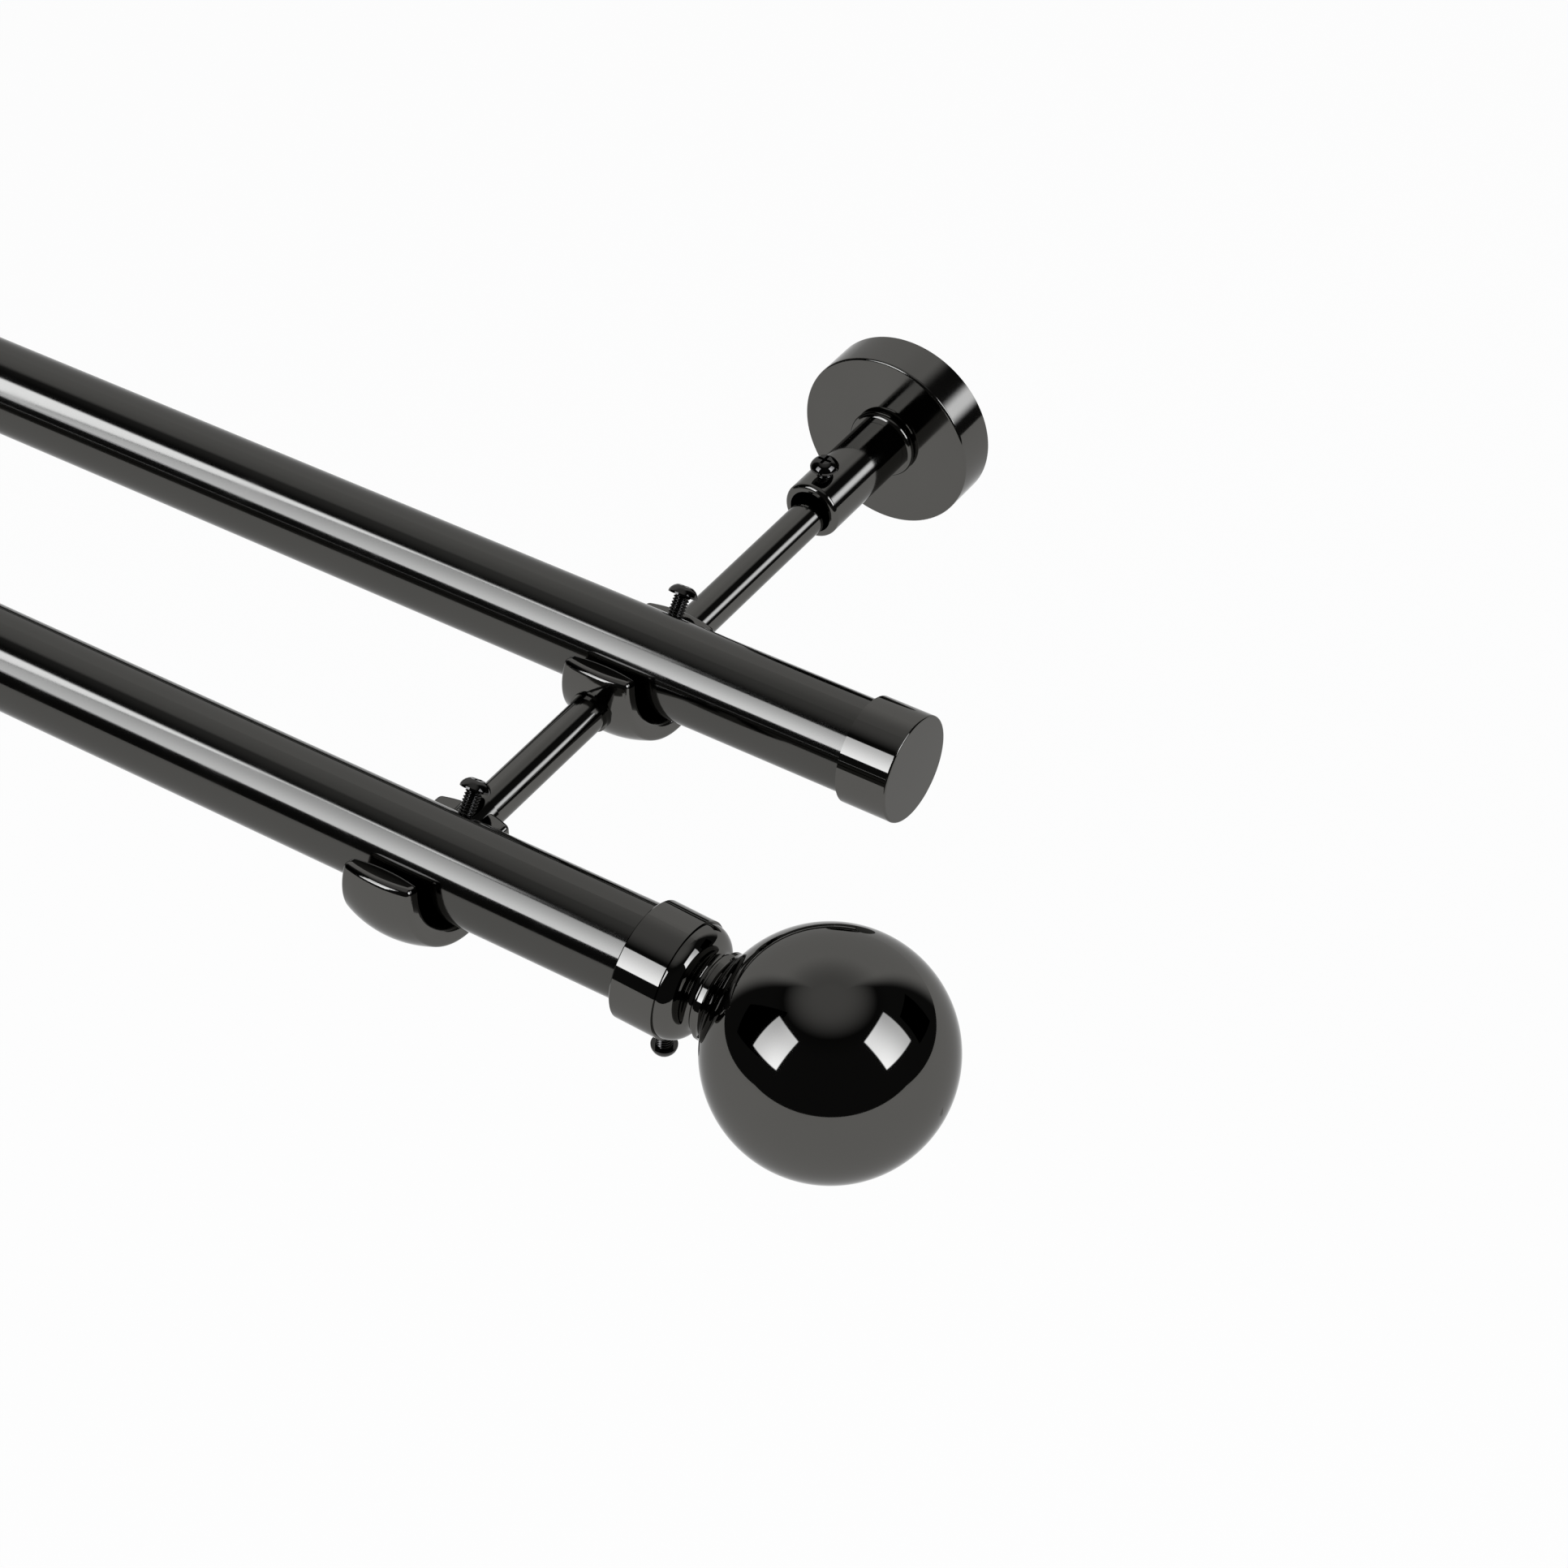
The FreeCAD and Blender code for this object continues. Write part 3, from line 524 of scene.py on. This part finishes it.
class CURTAINPOLE_OT_cut_threads(bpy.types.Operator):
    """Cut the threads that show on the shanks of the set screws"""

    bl_idname = "curtain_pole.cut_threads"
    bl_label = "Cut screw threads"

    def execute(self, context):
        stem_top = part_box("right_stem")[1].z
        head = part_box("stem_set_screws")[1].z - HEAD_HEIGHT
        stem_y = (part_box("stem_set_screws")[0].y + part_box("stem_set_screws")[1].y) / 2
        bottom = stem_top - THREAD_START
        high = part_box("finial_set_screws")[1]
        finial_out = high.x - FINIAL_HEAD * math.cos(DROOP) + FINIAL_SHANK * math.sin(DROOP)
        touch_out = POLE_RADIUS + POINT_RADIUS + POINT_GAP
        touch_up = POLE_UP + touch_out * math.sin(CUP_TOUCH)
        tilt = Vector((0, math.sin(CUP_TILT), math.cos(CUP_TILT)))
        stem_screws = []
        cup_screws = []
        finial_screws = []
        for side in (-1, 1):
            stem_screws.append((Vector((side * BRACKET_X, stem_y, bottom)), UP, head - bottom))
            for pole_y in (FRONT_Y, REAR_Y):
                tip = Vector((side * BRACKET_X, pole_y + touch_out * math.cos(CUP_TOUCH), touch_up))
                cup_screws.append((tip + tilt * THREAD_START, tilt, CUP_SHANK - THREAD_START))
            down = Vector((-side * math.sin(DROOP), 0, -math.cos(DROOP)))
            tip = Vector((side * finial_out, FRONT_Y, high.z - POINT_RADIUS))
            finial_screws.append((tip + down * THREAD_START, down, FINIAL_SHANK - THREAD_START))
        threaded_sleeve("stem_screw_threads", stem_screws)
        threaded_sleeve("cup_screw_threads", cup_screws)
        threaded_sleeve("finial_screw_threads", finial_screws)
        return {"FINISHED"}


def maths(tree, operation, first, second):
    """Result of a math node on two values, each a socket or a number."""
    made = node(tree, "ShaderNodeMath", operation=operation)
    for socket, value in zip(made.inputs, (first, second)):
        if isinstance(value, float):
            socket.default_value = value
        else:
            tree.links.new(value, socket)
    return made.outputs["Value"]


def larger(tree, first, second):
    """Larger of two values."""
    return maths(tree, "MAXIMUM", first, second)


def product(tree, first, second):
    """Product of two values."""
    return maths(tree, "MULTIPLY", first, second)


def nearness(tree, way, middle):
    """How nearly one way points along another, 1 at most."""
    dot = node(tree, "ShaderNodeVectorMath", operation="DOT_PRODUCT")
    dot.inputs[1].default_value = middle
    tree.links.new(way, dot.inputs[0])
    return dot.outputs["Value"]


def ramp(tree, value, reach, top, bottom=0.0):
    """Value that swells from bottom at the start of a reach to top at its end."""
    start, end = reach
    swell = node(tree, "ShaderNodeMapRange", interpolation_type="SMOOTHSTEP")
    swell.inputs["From Min"].default_value = start
    swell.inputs["From Max"].default_value = end
    swell.inputs["To Min"].default_value = bottom
    swell.inputs["To Max"].default_value = top
    tree.links.new(value, swell.inputs["Value"])
    return swell.outputs["Result"]


def studio_world():
    """White in the camera's view; in the metal, a bright backdrop, a lit ceiling and a dim room."""
    studio = settings("studio")
    world = bpy.data.worlds.new("Studio")
    world.use_nodes = True
    bpy.context.scene.world = world
    tree = world.node_tree
    link = tree.links.new
    way = node(tree, "ShaderNodeTexCoord")
    flat = node(tree, "ShaderNodeVectorMath", operation="MULTIPLY")
    flat.inputs[1].default_value = (1, 1, 0)
    link(way.outputs["Generated"], flat.inputs[0])
    level = node(tree, "ShaderNodeVectorMath", operation="NORMALIZE")
    link(flat.outputs["Vector"], level.inputs[0])
    behind = nearness(tree, level.outputs["Vector"], TO_BACKDROP)
    parts = node(tree, "ShaderNodeSeparateXYZ")
    link(way.outputs["Generated"], parts.inputs["Vector"])
    sides = ramp(tree, behind, BACKDROP_SIDES, studio.backdrop, studio.room)
    top = ramp(tree, parts.outputs["Z"], BACKDROP_HEIGHTS, BACKDROP_TOP_SHARE, 1.0)
    overhead = nearness(tree, way.outputs["Generated"], TO_CEILING)
    ceiling = ramp(tree, overhead, CEILING_REACH, studio.ceiling)
    room = larger(tree, product(tree, sides, top), ceiling)
    path = node(tree, "ShaderNodeLightPath")
    white = larger(tree, path.outputs["Is Camera Ray"], path.outputs["Is Transmission Ray"])
    background = tree.nodes["Background"]
    background.inputs["Color"].default_value = (1, 1, 1, 1)
    link(larger(tree, room, white), background.inputs["Strength"])


def stage_sheet(name, corners, material):
    """Flat sheet of the studio through four corners."""
    mesh = bpy.data.meshes.new(name)
    mesh.from_pydata(corners, [], [(0, 1, 2, 3)])
    mesh.materials.append(material)
    sheet = bpy.data.objects.new(name, mesh)
    bpy.context.scene.collection.objects.link(sheet)
    return sheet


def pale_floor():
    """Pale floor that reads white and keeps a soft shadow."""
    studio = settings("studio")
    made = bpy.data.materials.new("Pale floor")
    made.use_nodes = True
    tree = made.node_tree
    link = tree.links.new
    shader = tree.nodes["Principled BSDF"]
    shader.inputs["Base Color"].default_value = FLOOR_COLOUR
    shader.inputs["Roughness"].default_value = FLOOR_ROUGHNESS
    path = node(tree, "ShaderNodeLightPath")
    level = node(tree, "ShaderNodeMix", data_type="FLOAT")
    level.inputs["A"].default_value = studio.floor_glow
    level.inputs["B"].default_value = 1.0
    link(path.outputs["Is Camera Ray"], level.inputs["Factor"])
    glow = node(tree, "ShaderNodeEmission")
    link(level.outputs["Result"], glow.inputs["Strength"])
    seen = larger(tree, path.outputs["Is Camera Ray"], path.outputs["Is Glossy Ray"])
    seen = larger(tree, seen, path.outputs["Is Transmission Ray"])
    mix = node(tree, "ShaderNodeMixShader")
    link(product(tree, seen, FLOOR_WHITE_SHARE), mix.inputs["Fac"])
    link(shader.outputs["BSDF"], mix.inputs[1])
    link(glow.outputs["Emission"], mix.inputs[2])
    link(mix.outputs["Shader"], tree.nodes["Material Output"].inputs["Surface"])
    middle = Vector((BALL_PLACE.x, BALL_PLACE.y, studio.floor_drop))
    front = middle - TO_BACKDROP * studio.floor_front
    rear = middle + TO_BACKDROP * studio.floor_rear
    reach = TO_RIGHT * studio.floor_side
    stage_sheet("studio_floor", [front - reach, front + reach, rear + reach, rear - reach], made)


def glow_across(tree, place, half, soft, fade):
    """Glow along one side of a card, soft at both ends and dimmed at one."""
    edge = 2 * half * soft
    rise = ramp(tree, place, (-half, -half + edge), 1.0)
    fall = ramp(tree, place, (half - edge, half), 0.0, 1.0)
    dimming = ramp(tree, place, (-half, half), 1.0 + min(fade, 0.0), 1.0 - max(fade, 0.0))
    return product(tree, product(tree, rise, fall), dimming)


def card_axes(way, along):
    """Side axes of a card that is seen square on from one way, its first side along another."""
    normal = way.normalized()
    side = (along - normal * along.dot(normal)).normalized()
    return side, normal.cross(side)


def softbox(name, start, card, along, radiance, lit=None):
    """Hang a glowing card off a point, its first side along a way, to light all nodes or some."""
    made = bpy.data.materials.new(name)
    made.use_nodes = True
    tree = made.node_tree
    place = node(tree, "ShaderNodeTexCoord")
    parts = node(tree, "ShaderNodeSeparateXYZ")
    tree.links.new(place.outputs["Object"], parts.inputs["Vector"])
    half_x = card.size[0] / 2
    half_y = card.size[1] / 2
    across = glow_across(tree, parts.outputs["X"], half_x, card.soft[0], card.fade[0])
    upward = glow_across(tree, parts.outputs["Y"], half_y, card.soft[1], card.fade[1])
    level = product(tree, across, upward)
    emission = node(tree, "ShaderNodeEmission")
    emission.inputs["Color"].default_value = (*settings("studio").lamp_tint, 1)
    tree.links.new(product(tree, level, radiance), emission.inputs["Strength"])
    tree.links.new(emission.outputs["Emission"], tree.nodes["Material Output"].inputs["Surface"])
    sheet = stage_sheet(name, [(-half_x, -half_y, 0), (half_x, -half_y, 0),
                               (half_x, half_y, 0), (-half_x, half_y, 0)], made)
    side, rise = card_axes(card.way, along)
    turn = Matrix((side, rise, side.cross(rise))).transposed().to_4x4()
    turn.translation = start + card.distance * card.way
    sheet.matrix_world = turn
    sheet.visible_camera = False
    if lit:
        group = bpy.data.collections.new(name + "_lights")
        for node_name in lit:
            group.objects.link(NODES[node_name])
        sheet.light_linking.receiver_collection = group


def photo_camera():
    """Camera at the photograph's angle."""
    data = bpy.data.cameras.new("Camera")
    data.lens = settings("studio").lens
    data.sensor_width = SENSOR_WIDTH
    data.clip_start = CLIP_START
    camera = bpy.data.objects.new("Camera", data)
    back = CAMERA_RIGHT.cross(CAMERA_UP).normalized()
    place = Matrix((CAMERA_RIGHT, CAMERA_UP, back)).transposed().to_4x4()
    place.translation = CAMERA_PLACE
    camera.matrix_world = place
    bpy.context.scene.collection.objects.link(camera)
    bpy.context.scene.camera = camera


class CURTAINPOLE_OT_set_studio(bpy.types.Operator):
    """Set the floor, the lights and the camera"""

    bl_idname = "curtain_pole.set_studio"
    bl_label = "Set studio"

    def execute(self, context):
        studio = settings("studio")
        context.scene.view_settings.view_transform = "Standard"
        studio_world()
        pale_floor()
        softbox("room_softbox", BALL_PLACE, ROOM_CARD, UP.cross(ROOM_CARD.way), studio.softbox)
        softbox("end_softbox", BALL_PLACE, END_CARD, UP.cross(END_CARD.way), studio.softbox)
        softbox("pole_softbox", POLE_CARD_START, POLE_CARD, LENGTHWISE, studio.pole_softbox,
                ["front_pole", "rear_pole"])
        softbox("wall_strip", WALL_CARD_START, WALL_CARD, TO_WALL, studio.strip,
                both("rose", "stem", "rear_arm", "front_arm", "rear_cup", "front_cup"))
        photo_camera()
        return {"FINISHED"}


class CURTAINPOLE_PT_panel(bpy.types.Panel):
    """Pieces and studio of the curtain pole"""

    bl_idname = "CURTAINPOLE_PT_panel"
    bl_label = "Curtain pole"
    bl_space_type = "VIEW_3D"
    bl_region_type = "UI"
    bl_category = "Curtain pole"

    def draw(self, context):
        for step in STEPS:
            self.layout.operator(step.bl_idname)


STEPS = (
    CURTAINPOLE_OT_finish_poles,
    CURTAINPOLE_OT_finish_arms,
    CURTAINPOLE_OT_finish_castings,
    CURTAINPOLE_OT_finish_finials,
    CURTAINPOLE_OT_finish_screws,
    CURTAINPOLE_OT_finish_hidden_steel,
    CURTAINPOLE_OT_cut_threads,
    CURTAINPOLE_OT_set_studio,
)
GROUPS = {"plating": PlatingSettings, "thread": ThreadSettings, "studio": StudioSettings}


def register():
    """Register the settings, the operators and the panel."""
    for name, group in GROUPS.items():
        bpy.utils.register_class(group)
        setattr(bpy.types.Scene, "curtain_pole_" + name, PointerProperty(type=group))
    for step in STEPS:
        bpy.utils.register_class(step)
    bpy.utils.register_class(CURTAINPOLE_PT_panel)


def unregister():
    """Remove what register added."""
    bpy.utils.unregister_class(CURTAINPOLE_PT_panel)
    for step in reversed(STEPS):
        bpy.utils.unregister_class(step)
    for name, group in GROUPS.items():
        delattr(bpy.types.Scene, "curtain_pole_" + name)
        bpy.utils.unregister_class(group)


def main():
    """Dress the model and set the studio."""
    register()
    bpy.ops.curtain_pole.finish_poles()
    bpy.ops.curtain_pole.finish_arms()
    bpy.ops.curtain_pole.finish_castings()
    bpy.ops.curtain_pole.finish_finials()
    bpy.ops.curtain_pole.finish_screws()
    bpy.ops.curtain_pole.finish_hidden_steel()
    bpy.ops.curtain_pole.cut_threads()
    bpy.ops.curtain_pole.set_studio()


if __name__ == "__main__":
    main()
